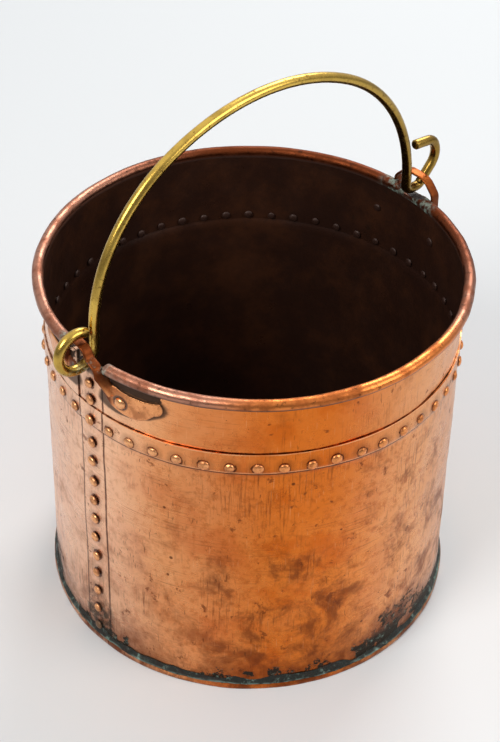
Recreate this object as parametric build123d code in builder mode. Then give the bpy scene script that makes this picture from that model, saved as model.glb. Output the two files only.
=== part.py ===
from build123d import *
import os
from math import asin, atan2, cos, degrees, radians, sin, sqrt

# A riveted copper log bucket. The body sheet tapers up to a collar whose edge is rolled
# over an iron wire, the bottom is folded round the body's flange, and a brass rod bail
# swings in two strap lugs. Millimetres, +Z up, the origin at the centre of the underside,
# +X along the bail's hinge line, which passes a little in front of the axis. The lapped
# seam runs down the -X side, under the lug of the bail's ring.

# Overall sizes
rim_radius = 200.0
rim_height = 353.0
body_taper = 3.2
foot_overhang = 3.6

# Sheet metal
sheet = 1.2
lap_gap = 0.1
bead_diameter = 10.8
bead_curl_angle = 310.0
wire_gap = 0.1

# Collar lapped into the top of the body
collar_depth = 84.8
band_width = 22.8
joggle = 2.0
collar_foot_gap = 0.8

# Lapped seam down the -X side
seam_width = 29.6
seam_joggle = 1.7
end_slit = 0.3

# Bottom
foot_height = 6.5
solder_height = 5.0
solder_width = 2.6
solder_bend_share = 0.4
lap_over_solder = 0.3

# Rivets
head_diameter = 10.6
head_height = 3.2
shank_diameter = 5.0
tail_diameter = 8.0
tail_height = 1.4
lug_head_diameter = 12.4
lug_head_height = 3.8
hole_clearance = 0.1
seat_gap = 0.1
band_rivet_count = 52
band_rivet_rise = 7.3
seam_rivet_count = 11
seam_rivet_foot = 17.0
seam_rivet_head = 19.2
collar_rivet_rises = [29.8, 47.8]
hole_overrun = 6.0

# Bail
rod_diameter = 9.5
hinge_drop = 1.5
hinge_offset = -6.8
bail_inset = 16.0
bail_shift = 0.0
bail_rise = 178.0
bail_leg_rise = 13.0
bail_crown_share = 1.16
ring_radius = 18.6
ring_rise = 4.0
ring_tip_angle = 56.0
hook_rise = 4.0
hook_bend_radius = 7.0
hook_run = 17.0
hook_lean = 22.0
hook_elbow_rise = 26.0
hook_elbow_radius = 20.0
hook_crown_rise = 45.5
hook_crown_setback = 7.0
hook_crown_radius = 12.0
hook_tip_reach = 7.0
hook_tip_rise = 48.0
rod_end_round = 1.6

# Strap lugs
strap_thickness = 2.2
strap_width = 10.0
strap_overhang = 3.8
strap_leg = 24.8
strap_foot_splay = 6.2
strap_foot_drop = 31.0
strap_splay_drop = 11.0
strap_waist_radius = 8.0
strap_splay_radius = 8.0
ring_lug_crest = 11.8
ring_lug_crown = 8.5
ring_lug_shoulder_radius = 9.0
ring_lug_waist = 12.5
ring_lug_waist_rise = 2.6
ring_lug_knee_drop = 2.65
hook_lug_crest = 17.6
hook_lug_crown = 12.5
hook_lug_shoulder_radius = 16.0
hook_lug_knee_rise = 5.0
leg_clearance = 0.4
leg_taper_drop = 11.0
leg_foot_drop = 37.0
wing_sheet = 1.8
wing_root_gap = 0.5
wing_tip_reach = 77.0
wing_depth = 27.4
wing_drop = 22.1
wing_along_shares = [0, 0.25, 0.61, 0.96, 1, 0.88, 0.72, 0.52, 0.33, 0.14, 0]
wing_down_shares = [0.07, 0, 0.12, 0, 0.13, 0.56, 0.88, 1, 0.95, 0.8, 0.43]
wing_rivet_reach = 38.5
wing_rivet_share = 0.533

# Room for the bail to swing each way from upright
swing_limit = 70.0
swing_clearance = 0.6
seat_half_width = 19.5

# Derived sizes of the wall, the rolled rim and the laps
bead_radius = bead_diameter / 2
bead_height = rim_height - bead_radius
bead_centre = rim_radius - bead_radius
wall_top_radius = rim_radius - bead_diameter + sheet
body_foot_radius = wall_top_radius + body_taper
foot_radius = body_foot_radius + foot_overhang
lap_step = sheet + lap_gap
floor_top = sheet
crease_height = rim_height - collar_depth
body_top = crease_height + band_width
collar_foot = crease_height + joggle + collar_foot_gap
seam_width_angle = degrees(seam_width / wall_top_radius)
joggle_angle = degrees(seam_joggle / wall_top_radius)
end_slit_angle = degrees(end_slit / wall_top_radius)
ring_lug_angle = 180 - degrees(asin(hinge_offset / wall_top_radius))
hook_lug_angle = 180 - ring_lug_angle
seam_centre_angle = ring_lug_angle
seam_start = seam_centre_angle - seam_width_angle / 2
flap_foot = foot_height + solder_height + lap_over_solder

# Derived sizes of the bail and the lugs
hinge_height = rim_height - hinge_drop
rod_radius = rod_diameter / 2
shank_radius = shank_diameter / 2
bail_half_span = rim_radius - bail_inset
bail_apex = rim_height + bail_rise
bail_springing = rim_height + bail_leg_rise
bail_crown_radius = bail_half_span * bail_crown_share
leg_taper_top = rim_height - leg_taper_drop
leg_taper_foot = rim_height - leg_foot_drop
wing_top = rim_height - wing_drop
wing_rivet_height = wing_top - wing_depth * wing_rivet_share


def wall_radius(height):
    """Outside radius of the plain tapered wall at a height."""
    return body_foot_radius + (wall_top_radius - body_foot_radius) * height / bead_height


def radial_plane(angle):
    """Upright plane through the axis: local x points outwards, local y up."""
    outward = (cos(radians(angle)), sin(radians(angle)), 0)
    normal = (sin(radians(angle)), -cos(radians(angle)), 0)
    return Plane(origin=(0, 0, 0), x_dir=outward, z_dir=normal)


def seat_plane(angle, height, radius):
    """Plane on the wall's outside whose normal points outwards, where a rivet head sits."""
    outward = (cos(radians(angle)), sin(radians(angle)), 0)
    origin = (radius * outward[0], radius * outward[1], height)
    return Plane(origin=origin, x_dir=(0, 0, 1), z_dir=outward)


def side_plane(side, distance):
    """Upright plane across the hinge line on one side: local x is tangential, local y up."""
    origin = (side * distance, hinge_offset, 0)
    return Plane(origin=origin, x_dir=(0, side, 0), z_dir=(side, 0, 0))


def hinge_plane(side):
    """Upright plane that holds the hinge line: local x points outwards, local y up."""
    return Plane(origin=(0, hinge_offset, 0), x_dir=(side, 0, 0), z_dir=(0, -side, 0))


def body_wall(foot, lift):
    """Section of the body sheet from a height to its top edge, raised by a lap."""
    step = lift + lap_step
    outside = [
        (wall_radius(foot) + lift, foot),
        (wall_radius(crease_height) + lift, crease_height),
        (wall_radius(crease_height) + step, crease_height + joggle),
        (wall_radius(body_top) + step, body_top),
    ]
    inside = [(radius - sheet, height) for radius, height in reversed(outside)]
    return outside + inside


def rivet(diameter, height, grip):
    """Rivet along +Z: the domed head starts at zero and the hammered tail ends the grip."""
    with BuildPart() as made:
        with BuildSketch(Plane.XZ):
            with BuildLine():
                TangentArc((0, height), (diameter / 2, 0), tangent=(1, 0))
                Polyline(
                    (diameter / 2, 0),
                    (shank_radius, 0),
                    (shank_radius, -grip),
                    (tail_diameter / 2, -grip),
                )
                TangentArc((0, -grip - tail_height), (tail_diameter / 2, -grip), tangent=(1, 0))
                Line((0, -grip - tail_height), (0, height))
            make_face()
        revolve(axis=Axis.Z)
    return made.part


# Places of the rivets. The head of each one sits just off the sheet that it holds
band_rivet_height = crease_height + band_rivet_rise
band_angles = [
    seam_centre_angle + 360 * index / band_rivet_count for index in range(1, band_rivet_count)
]
band_face = wall_radius(band_rivet_height) + lap_step + seat_gap
band_seats = [seat_plane(angle, band_rivet_height, band_face) for angle in band_angles]
crossing_face = band_face + lap_step
crossing_seat = seat_plane(seam_centre_angle, band_rivet_height, crossing_face)
seam_rivet_top = crease_height - seam_rivet_head
seam_rivet_pitch = (seam_rivet_top - seam_rivet_foot) / (seam_rivet_count - 1)
seam_heights = [seam_rivet_foot + seam_rivet_pitch * index for index in range(seam_rivet_count)]
seam_seats = [
    seat_plane(seam_centre_angle, height, wall_radius(height) + lap_step + seat_gap)
    for height in seam_heights
]
collar_seats = [
    seat_plane(
        seam_centre_angle,
        crease_height + rise,
        wall_radius(crease_height + rise) + lap_step + seat_gap,
    )
    for rise in collar_rivet_rises
]
wing_rivet_angle = degrees(wing_rivet_reach / wall_radius(wing_rivet_height))
wing_face = wall_radius(wing_rivet_height) + lap_gap + wing_sheet + seat_gap


def wing_seats(lug_angle):
    """Rivet seats on the two wings of the lug at an angle."""
    return [
        seat_plane(lug_angle + turn * wing_rivet_angle, wing_rivet_height, wing_face)
        for turn in (-1, 1)
    ]


double_grip = 2 * sheet + lap_gap + 2 * seat_gap
triple_grip = double_grip + lap_step
wing_grip = wing_sheet + lap_gap + sheet + 2 * seat_gap
hole_radius = shank_radius + hole_clearance
hole_length = triple_grip + 2 * hole_overrun

# Body sheet: one tapered sheet rolled round and lapped over itself at the seam, stepped
# out over the collar at the top and flanged outwards at the bottom
with BuildPart() as body_sheet:
    with BuildSketch(radial_plane(seam_start + end_slit_angle)):
        with BuildLine():
            Polyline(*body_wall(floor_top + lap_gap, 0), close=True)
        make_face()
        flange_edge = foot_radius - sheet - lap_gap
        flange_root = body_foot_radius - sheet / 2
        with Locations((flange_root, floor_top + lap_gap)):
            Rectangle(flange_edge - flange_root, sheet, align=(Align.MIN, Align.MIN))
    revolve(axis=Axis.Z, revolution_arc=360 - joggle_angle - end_slit_angle)
    with BuildSketch(radial_plane(seam_start - joggle_angle)):
        with BuildLine():
            Polyline(*body_wall(floor_top + lap_gap, 0), close=True)
        make_face()
        with BuildLine():
            Polyline(*body_wall(flap_foot, lap_step), close=True)
        make_face()
        with BuildLine():
            Polyline(*body_wall(flap_foot, lap_step / 2), close=True)
        make_face()
    revolve(axis=Axis.Z, revolution_arc=joggle_angle)
    with BuildSketch(radial_plane(seam_start)):
        with BuildLine():
            Polyline(*body_wall(flap_foot, lap_step), close=True)
        make_face()
    revolve(axis=Axis.Z, revolution_arc=seam_width_angle)
    with Locations(*band_seats, crossing_seat, *seam_seats):
        Cylinder(hole_radius, hole_length, mode=Mode.SUBTRACT)
body_sheet.part.label = "body_sheet"
export_step(body_sheet.part, "parts/body_sheet.step")

# Room for the bail in the rim: a gap and a notch for its ring, a dip for its hook
ring_centre = bail_half_span - bail_shift + ring_radius
ring_outside = ring_radius + rod_radius
ring_inset = ring_centre - wall_top_radius - lap_step
notch_radius = sqrt(ring_outside**2 - ring_inset**2) - ring_rise + swing_clearance
strap_outer = rim_radius + strap_overhang
strap_inner = strap_outer - strap_width
gap_half_width = strap_leg + strap_thickness / 2 + leg_clearance
hook_low_rise = hook_rise * cos(radians(swing_limit))
seat_drop = hinge_drop - hook_low_rise + rod_radius + swing_clearance
seat_radius = (seat_half_width**2 + seat_drop**2) / (2 * seat_drop)
slot_width = strap_thickness + 2 * leg_clearance
slot_depth = rim_radius - strap_inner + 2 * leg_clearance
with BuildPart() as rim_cuts:
    with BuildSketch(side_plane(-1, strap_inner)):
        with Locations((0, rim_height)):
            Rectangle(2 * gap_half_width, 2 * bead_diameter)
        with Locations((0, hinge_height)):
            Circle(notch_radius)
    extrude(amount=bead_diameter, both=True)
    with BuildSketch(side_plane(1, strap_inner)):
        with Locations((0, rim_height - seat_drop + seat_radius)):
            Circle(seat_radius)
    extrude(amount=bead_diameter, both=True)
    with BuildSketch(side_plane(1, strap_inner - leg_clearance)):
        with Locations((-strap_leg, rim_height), (strap_leg, rim_height)):
            Rectangle(slot_width, 2 * bead_diameter + 2 * leg_clearance)
    extrude(amount=slot_depth)

# Collar sheet: it stands inside the top of the body, is lapped at the same seam, and its
# top edge is rolled outwards over the rim wire
with BuildPart() as collar_sheet:
    with BuildSketch(radial_plane(seam_start + end_slit_angle)):
        with BuildLine():
            bead_middle = (bead_centre, bead_height)
            outer_curl = CenterArc(bead_middle, bead_radius, 180, -bead_curl_angle)
            inner_curl = CenterArc(bead_middle, bead_radius - sheet, 180, -bead_curl_angle)
            Line(outer_curl @ 1, inner_curl @ 1)
            Polyline(
                outer_curl @ 0,
                (wall_radius(collar_foot) - sheet, collar_foot),
                (wall_radius(collar_foot), collar_foot),
                inner_curl @ 0,
            )
        make_face()
    revolve(axis=Axis.Z, revolution_arc=360 - end_slit_angle)
    with BuildSketch(radial_plane(seam_start)):
        with BuildLine():
            flap_low = body_top + lap_gap
            flap_high = rim_height - bead_diameter
            Polyline(
                (wall_radius(flap_low) + lap_gap, flap_low),
                (wall_radius(flap_low) + lap_step, flap_low),
                (wall_radius(flap_high) + lap_step, flap_high),
                (wall_radius(flap_high) + lap_gap, flap_high),
                close=True,
            )
        make_face()
    revolve(axis=Axis.Z, revolution_arc=seam_width_angle)
    with BuildSketch(radial_plane(seam_start - joggle_angle)):
        with BuildLine():
            Polyline(
                (wall_radius(flap_low) - sheet / 2, flap_low),
                (wall_radius(flap_low) + lap_step, flap_low),
                (wall_radius(flap_high) + lap_step, flap_high),
                (wall_radius(flap_high) - sheet / 2, flap_high),
                close=True,
            )
        make_face()
    revolve(axis=Axis.Z, revolution_arc=joggle_angle)
    add(rim_cuts.part, mode=Mode.SUBTRACT)
    with Locations(*band_seats, crossing_seat, *collar_seats):
        Cylinder(hole_radius, hole_length, mode=Mode.SUBTRACT)
    with Locations(*wing_seats(ring_lug_angle), *wing_seats(hook_lug_angle)):
        Cylinder(hole_radius, hole_length, mode=Mode.SUBTRACT)
collar_sheet.part.label = "collar_sheet"
export_step(collar_sheet.part, "parts/collar_sheet.step")

# Rim wire: iron, closed in by the rolled edge and cut through at the ring's lug
with BuildPart() as rim_wire:
    with BuildSketch(Plane.XZ):
        with Locations((bead_centre, bead_height)):
            Circle(bead_radius - sheet - wire_gap)
    revolve(axis=Axis.Z)
    add(rim_cuts.part, mode=Mode.SUBTRACT)
rim_wire.part.label = "rim_wire"
export_step(rim_wire.part, "parts/rim_wire.step")

# Bottom: a disc whose edge is turned up and folded in over the body's flange
with BuildPart() as base_pan:
    with BuildSketch(Plane.XZ):
        with BuildLine():
            fold_inner = wall_radius(foot_height) + lap_gap
            Polyline(
                (0, 0),
                (foot_radius, 0),
                (foot_radius, foot_height),
                (fold_inner, foot_height),
                (fold_inner, foot_height - sheet),
                (foot_radius - sheet, foot_height - sheet),
                (foot_radius - sheet, floor_top),
                (0, floor_top),
                close=True,
            )
        make_face()
    revolve(axis=Axis.Z)
    fillet(base_pan.edges().filter_by(GeomType.CIRCLE).group_by(SortBy.RADIUS)[-1], sheet / 2)
base_pan.part.label = "base_pan"
export_step(base_pan.part, "parts/base_pan.step")

# Solder run round the foot, in the corner between the wall and the folded edge
with BuildPart() as base_solder:
    with BuildSketch(Plane.XZ):
        with BuildLine():
            solder_low = foot_height + seat_gap
            solder_high = foot_height + solder_height
            solder_foot = (wall_radius(solder_low) + seat_gap, solder_low)
            solder_toe = (wall_radius(solder_low) + solder_width, solder_low)
            solder_head = (wall_radius(solder_high) + seat_gap, solder_high)
            solder_middle = (
                wall_radius(solder_low) + solder_width * solder_bend_share,
                solder_low + (solder_high - solder_low) * solder_bend_share,
            )
            Polyline(solder_toe, solder_foot, solder_head, solder_middle, close=True)
        make_face()
    revolve(axis=Axis.Z)
base_solder.part.label = "base_solder"
export_step(base_solder.part, "parts/base_solder.step")

# Rivets of the horizontal band. The one at the seam goes through one sheet more
band_rivet = rivet(head_diameter, head_height, double_grip)
with BuildPart() as band_rivets:
    with Locations(*band_seats):
        add(band_rivet)
    with Locations(crossing_seat):
        add(rivet(head_diameter, head_height, triple_grip))
band_rivets.part.label = "band_rivets"
export_step(band_rivets.part, "parts/band_rivets.step")

# Rivets of the seam, down the body and up the collar
with BuildPart() as body_seam_rivets:
    with Locations(*seam_seats):
        add(band_rivet)
body_seam_rivets.part.label = "body_seam_rivets"
export_step(body_seam_rivets.part, "parts/body_seam_rivets.step")

with BuildPart() as collar_seam_rivets:
    with Locations(*collar_seats):
        add(band_rivet)
collar_seam_rivets.part.label = "collar_seam_rivets"
export_step(collar_seam_rivets.part, "parts/collar_seam_rivets.step")


# Outline of a wing, beyond the edge of the lapped seam
wing_root = seam_width / 2 + seam_joggle + wing_root_gap
wing_outline = [
    (wing_root + (wing_tip_reach - wing_root) * along, wing_top - wing_depth * down)
    for along, down in zip(wing_along_shares, wing_down_shares)
]


def wing_shell(lift):
    """Points at the wing's top and bottom, lifted off the collar's outside."""
    high = leg_taper_top
    low = wing_top - wing_depth - wing_sheet
    return (wall_radius(high) + lap_gap + lift, high), (wall_radius(low) + lap_gap + lift, low)


def lug_wings(side):
    """The two leaf-shaped wings of a lug, bent to the collar's outside."""
    high, low = wing_shell(0)
    outer_high, outer_low = wing_shell(wing_sheet)
    with BuildPart() as wings:
        with BuildSketch(Plane.XZ):
            with BuildLine():
                Polyline(high, low, outer_low, outer_high, close=True)
            make_face()
        revolve(axis=Axis.Z)
        with BuildSketch(side_plane(side, rim_radius)):
            with BuildLine():
                Line(*wing_outline[0:2])
                for first in range(1, 9, 2):
                    ThreePointArc(*wing_outline[first : first + 3])
                Polyline(wing_outline[9], wing_outline[10], wing_outline[0])
            make_face()
            mirror(about=Plane.YZ)
        extrude(amount=-rim_radius / 2, mode=Mode.INTERSECT)
    return wings.part


def strap_lug(side, lug_angle, arch, shoulder_radius):
    """A lug: a strap bent up into an arch across the rim, its feet run out into wings."""
    wings = lug_wings(side)
    foot = (strap_leg + strap_foot_splay, -strap_foot_drop)
    half = [*arch, (strap_leg, -strap_splay_drop), foot]
    bends = [shoulder_radius] + [strap_waist_radius] * (len(arch) - 1)
    bends.append(strap_splay_radius)
    both = [(-across, up) for across, up in reversed(half)] + half
    line = [(across, hinge_height + up) for across, up in both]
    middle_high, middle_low = wing_shell(wing_sheet / 2)
    with BuildPart() as lug:
        with BuildSketch(side_plane(side, strap_inner)):
            with BuildLine():
                FilletPolyline(*line, radius=bends[::-1] + bends)
            trace(line_width=strap_thickness)
        extrude(amount=strap_width, both=True)
        with BuildSketch(hinge_plane(side)):
            with BuildLine():
                over_strap = bail_springing + strap_width
                foot_skin = wall_radius(leg_taper_foot) + wing_sheet / 2
                Polyline(
                    (strap_inner, over_strap),
                    (strap_outer, over_strap),
                    (strap_outer, leg_taper_top),
                    (foot_skin, leg_taper_foot),
                    (strap_inner - bead_diameter, leg_taper_foot),
                    (strap_inner - bead_diameter, leg_taper_top - strap_thickness),
                    (strap_inner, leg_taper_top),
                    close=True,
                )
            make_face()
        extrude(amount=rim_radius / 2, both=True, mode=Mode.INTERSECT)
        with BuildSketch(Plane.XZ):
            with BuildLine():
                Polyline((0, middle_high[1]), middle_high, middle_low, (0, middle_low[1]), close=True)
            make_face()
        revolve(axis=Axis.Z, mode=Mode.SUBTRACT)
        add(wings)
        with Locations(*wing_seats(lug_angle)):
            Cylinder(hole_radius, hole_length, mode=Mode.SUBTRACT)
    return lug


ring_lug = strap_lug(
    -1,
    ring_lug_angle,
    [
        (ring_lug_crown, ring_lug_crest),
        (ring_lug_waist, ring_lug_waist_rise),
        (strap_leg, -ring_lug_knee_drop),
    ],
    ring_lug_shoulder_radius,
)
ring_lug.part.label = "ring_lug"
export_step(ring_lug.part, "parts/ring_lug.step")

hook_arch = [(hook_lug_crown, hook_lug_crest), (strap_leg, hook_lug_knee_rise)]
hook_lug = strap_lug(1, hook_lug_angle, hook_arch, hook_lug_shoulder_radius)
hook_lug.part.label = "hook_lug"
export_step(hook_lug.part, "parts/hook_lug.step")

# Rivets of the lugs, one through each wing
lug_rivet = rivet(lug_head_diameter, lug_head_height, wing_grip)
with BuildPart() as ring_lug_rivets:
    with Locations(*wing_seats(ring_lug_angle)):
        add(lug_rivet)
ring_lug_rivets.part.label = "ring_lug_rivets"
export_step(ring_lug_rivets.part, "parts/ring_lug_rivets.step")

with BuildPart() as hook_lug_rivets:
    with Locations(*wing_seats(hook_lug_angle)):
        add(lug_rivet)
hook_lug_rivets.part.label = "hook_lug_rivets"
export_step(hook_lug_rivets.part, "parts/hook_lug_rivets.step")

# Bail: one rod. Its bow is a basket-handle arch of three arcs, its -X end a closed ring
# round the strap, its +X end an open hook
crown_centre = bail_apex - bail_crown_radius
crown_sink = bail_springing - crown_centre
shoulder_radius = (bail_half_span**2 + crown_sink**2 - bail_crown_radius**2) / (
    2 * (bail_half_span - bail_crown_radius)
)
shoulder_inset = bail_half_span - shoulder_radius
join_angle = degrees(atan2(crown_sink, shoulder_inset))
left_leg = bail_shift - bail_half_span
right_leg = bail_shift + bail_half_span
ring_height = hinge_height + ring_rise
hook_floor = hinge_height + hook_rise
hook_rise_foot = right_leg + hook_run
hook_crown_height = hinge_height + hook_crown_rise + hook_rise
with BuildPart() as bail:
    with BuildLine(hinge_plane(1)) as rod_line:
        ring_bend = CenterArc(
            (-ring_centre, ring_height), ring_radius, ring_tip_angle, 360 - ring_tip_angle
        )
        Line(ring_bend @ 1, (left_leg, bail_springing))
        CenterArc((bail_shift - shoulder_inset, bail_springing), shoulder_radius, 180, -join_angle)
        CenterArc(
            (bail_shift, crown_centre),
            bail_crown_radius,
            180 - join_angle,
            2 * join_angle - 180,
        )
        CenterArc(
            (bail_shift + shoulder_inset, bail_springing),
            shoulder_radius,
            join_angle,
            -join_angle,
        )
        FilletPolyline(
            (right_leg, bail_springing),
            (right_leg, hook_floor),
            (hook_rise_foot, hook_floor),
            (hook_rise_foot + hook_lean, hook_floor + hook_elbow_rise),
            (hook_rise_foot + hook_lean - hook_crown_setback, hook_crown_height),
            (right_leg + hook_tip_reach, hook_floor + hook_tip_rise),
            radius=[hook_bend_radius, hook_bend_radius, hook_elbow_radius, hook_crown_radius],
        )
    with BuildSketch(Plane(origin=rod_line.line @ 0, z_dir=rod_line.line % 0)):
        Circle(rod_radius)
    sweep(path=rod_line.line)
    rod_ends = bail.faces().filter_by(GeomType.PLANE).sort_by(SortBy.AREA)[:2]
    fillet(rod_ends.edges(), rod_end_round)
bail.part.label = "bail"
export_step(bail.part, "parts/bail.step")
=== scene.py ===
from math import asin, atan2, cos, degrees, pi, radians, sin

import bpy
from mathutils import Matrix, Vector, noise as perlin


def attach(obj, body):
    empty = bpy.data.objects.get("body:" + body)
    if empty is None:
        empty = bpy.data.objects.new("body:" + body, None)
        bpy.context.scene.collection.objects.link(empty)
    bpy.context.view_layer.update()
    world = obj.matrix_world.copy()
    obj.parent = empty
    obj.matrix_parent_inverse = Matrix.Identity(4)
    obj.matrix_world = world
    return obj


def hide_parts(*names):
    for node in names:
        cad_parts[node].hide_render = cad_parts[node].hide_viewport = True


bl_info = {
    "name": "Riveted Copper Log Bucket",
    "version": (1, 0, 0),
    "blender": (4, 5, 0),
    "location": "View3D > Sidebar > Log Bucket",
    "description": "Dresses a riveted copper log bucket: hammered sheet, brass bail and old solder",
    "category": "Object",
}

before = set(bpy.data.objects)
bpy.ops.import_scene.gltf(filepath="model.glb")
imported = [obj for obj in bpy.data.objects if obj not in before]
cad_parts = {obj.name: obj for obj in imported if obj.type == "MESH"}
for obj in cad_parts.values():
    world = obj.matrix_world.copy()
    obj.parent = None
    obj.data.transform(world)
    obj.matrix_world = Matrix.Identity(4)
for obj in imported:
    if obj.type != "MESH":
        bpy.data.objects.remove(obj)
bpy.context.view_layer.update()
MM = 0.001
AROUND = 288  # faces round the bucket
BEATEN = 190  # radius in millimetres at which both faces of a sheet find the same dents
FLOOR_TOP = 0.0025  # height in metres under which a face belongs to the bottom
WALL_MIDDLE = 0.192  # mean radius of the wall in metres, on which it is unrolled
ROLL_FOOT = 0.3425  # height in metres where the rim's roll begins

# Rivets: how many, and their heights and spacing in millimetres
BAND_COUNT = 52
BAND_HEIGHT = 275.5
SEAM_COUNT = 11
SEAM_FIRST = 17.0
SEAM_PITCH = 23.2
COLLAR_HEIGHTS = (298.0, 316.0)
WING_HEIGHT = 316.3
WING_SPREAD = 38.5
# Width and rise of a rivet's head in the sheets and in the lugs' wings
SHEET_HEAD = (9.7, 2.7)
WING_HEAD = (12.2, 3.6)


# Sizes and colours

def hex_to_linear(text):
    """Linear RGBA from an sRGB hex value."""
    parts = [int(text[i : i + 2], 16) / 255 for i in (0, 2, 4)]
    linear = [c / 12.92 if c <= 0.04045 else ((c + 0.055) / 1.055) ** 2.4 for c in parts]
    return (*linear, 1.0)


def length(name, description, default):
    """A length in millimetres."""
    return bpy.props.FloatProperty(name=name, description=description, default=default)


def colour(name, description, default):
    """A colour given as an sRGB hex value."""
    return bpy.props.FloatVectorProperty(
        name=name,
        description=description,
        default=hex_to_linear(default),
        size=4,
        subtype="COLOR",
        min=0.0,
        max=1.0,
    )


class LOGBUCKET_PG_sizes(bpy.types.PropertyGroup):
    """Sizes of the bucket's visible pieces, in millimetres."""

    wall_foot: length("Wall foot radius", "Outside radius of the wall at the floor", 193.6)
    wall_top: length("Wall top radius", "Outside radius of the wall under the rolled rim", 190.4)
    sheet: length("Sheet", "Thickness of the copper sheet", 1.2)
    lap: length("Lap", "How far a lapped sheet stands off the one under it", 1.3)
    rim_height: length("Rim height", "Height of the rolled rim's top", 353.0)
    bead: length("Rim roll", "Diameter of the rolled rim", 10.8)
    crease: length("Crease height", "Height where the body steps out over the collar", 268.2)
    body_top: length("Body top", "Height of the body sheet's top edge", 291.0)
    seam_half: length("Seam half width", "Half the width of the lapped seam", 14.8)
    foot: length("Foot height", "Height of the turned-up edge of the bottom", 6.5)
    offset: length("Hinge offset", "How far the hinge line and the seam lie off the axis", -6.8)
    dent: length("Dents", "Depth of the broad hammer dents in the sheet", 0.9)


class LOGBUCKET_PG_colours(bpy.types.PropertyGroup):
    """Colours of the bucket's finishes."""

    copper: colour("Copper", "Worn, polished copper", "E07E31")
    copper_deep: colour("Deep copper", "Copper with a deep orange tone", "CE661D")
    # Also painted pale highlights: at the left of the wall, on the rivets, on the ring lug's wings and
    # along the band's lit edges
    copper_pale_and_highlight: colour("Pale copper", "Copper rubbed pale and pinkish", "F3B27E")
    # A painted pink highlight at the left of the wall
    copper_pink_highlight: colour("Pink copper", "Copper rubbed pink at the left", "F8CDB0")
    # A painted yellow highlight at the far right of the wall
    copper_yellow_highlight: colour("Yellow copper", "Copper of a brassy yellow at the right", "EBC684")
    # A painted golden highlight at the right of the wall and on the hook lug's wings
    copper_gold_highlight: colour("Golden copper", "Copper with a yellow tinge", "E9AC76")
    copper_brown: colour("Brown copper", "Brown oxide in streaks and spots", "74381A")
    rim: colour("Rim", "Pinkish copper of the rolled rim", "B07C66")
    # Painted shade on the rim's far side
    rim_far_shade: colour("Brown rim", "Browner copper of the rim's far side", "5E301C")
    # Also painted shade on the rolled rim's lower half and on the lugs' straps
    inside: colour("Inside", "Black-brown tarnish of the inside", "38221A")
    inside_brown: colour("Brown inside", "Browner patches of the inside", "623A24")
    # Also painted shade round the rivets, along the laps, by the rim and round the lugs' wings
    grime_and_shade: colour("Grime", "Dark dirt in corners and round rivets", "241812")
    solder: colour("Old solder", "Black-green patina on the solder", "1B201B")
    verdigris: colour("Verdigris", "Green-blue copper salts", "8CA79B")
    brass: colour("Brass", "Aged golden brass", "DAB456")
    # Also painted shade on the rod's right side
    brass_oxide_and_shade: colour("Brown brass", "Brown oxide on brass", "5B3F1C")


def sizes():
    """The bucket's sizes, as the panel shows them."""
    return bpy.context.scene.logbucket_sizes


def colours():
    """The finishes' colours, as the panel shows them."""
    return bpy.context.scene.logbucket_colours


def wall(height, lift=0.0):
    """Outside radius of the tapered wall at a height, in millimetres."""
    s = sizes()
    top = s.rim_height - s.bead / 2
    return s.wall_foot + (s.wall_top - s.wall_foot) * height / top + lift


def lug_turn():
    """Angle of the seam and of the ring's lug from -X, in degrees."""
    return degrees(asin(-sizes().offset / sizes().wall_top))


# Materials

def feed(node, **inputs):
    """Links or sets a node's inputs, called by their labels or by i and their number."""
    for name, value in inputs.items():
        key = int(name[1:]) if name[0] == "i" and name[1:].isdigit() else name.replace("_", " ")
        if isinstance(value, Signal):
            value.tree.links.new(value.socket, node.inputs[key])
        else:
            node.inputs[key].default_value = value


def add(tree, kind, settings=None, **inputs):
    """Adds a node with its settings and its linked or fixed inputs."""
    node = tree.nodes.new(kind)
    for name, value in (settings or {}).items():
        setattr(node, name, value)
    feed(node, **inputs)
    return node


def maths(tree, operation, first, second=0.0, third=0.0):
    """One step of arithmetic on numbers or signals."""
    return Signal(add(tree, "ShaderNodeMath", {"operation": operation}, i0=first, i1=second, i2=third))


class Signal:
    """An output of a node. Arithmetic on it adds the nodes that work it out."""

    def __init__(self, node, output=0):
        self.tree = node.id_data
        self.socket = node.outputs[output]

    def maths(self, operation, *others):
        """One step of arithmetic that may have no operator of its own."""
        return maths(self.tree, operation, self, *others)

    def __add__(self, other):
        return self.maths("ADD", other)

    def __sub__(self, other):
        return self.maths("SUBTRACT", other)

    def __rsub__(self, other):
        return maths(self.tree, "SUBTRACT", other, self)

    def __mul__(self, other):
        return self.maths("MULTIPLY", other)

    def __truediv__(self, other):
        return self.maths("DIVIDE", other)

    def __abs__(self):
        return self.maths("ABSOLUTE")

    def scaled(self, factor, extra):
        """The signal times a factor, plus something extra."""
        return self.maths("MULTIPLY_ADD", factor, extra)


def place(tree):
    """Object coordinates, with x, y, z and the distance from the bucket's axis in metres."""
    coords = Signal(add(tree, "ShaderNodeTexCoord"), "Object")
    split = add(tree, "ShaderNodeSeparateXYZ", i0=coords)
    x, y, z = (Signal(split, axis) for axis in "XYZ")
    flat = add(tree, "ShaderNodeCombineXYZ", i0=x, i1=y)
    radius = add(tree, "ShaderNodeVectorMath", {"operation": "LENGTH"}, i0=Signal(flat))
    return coords, x, y, z, Signal(radius, "Value")


def new_material(name):
    """An empty material with its shader and the place of each point."""
    material = bpy.data.materials.new(name)
    material.use_nodes = True
    tree = material.node_tree
    tree.nodes.clear()
    shader = add(tree, "ShaderNodeBsdfPrincipled")
    add(tree, "ShaderNodeOutputMaterial", i0=Signal(shader))
    return material, shader, place(tree)


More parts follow.
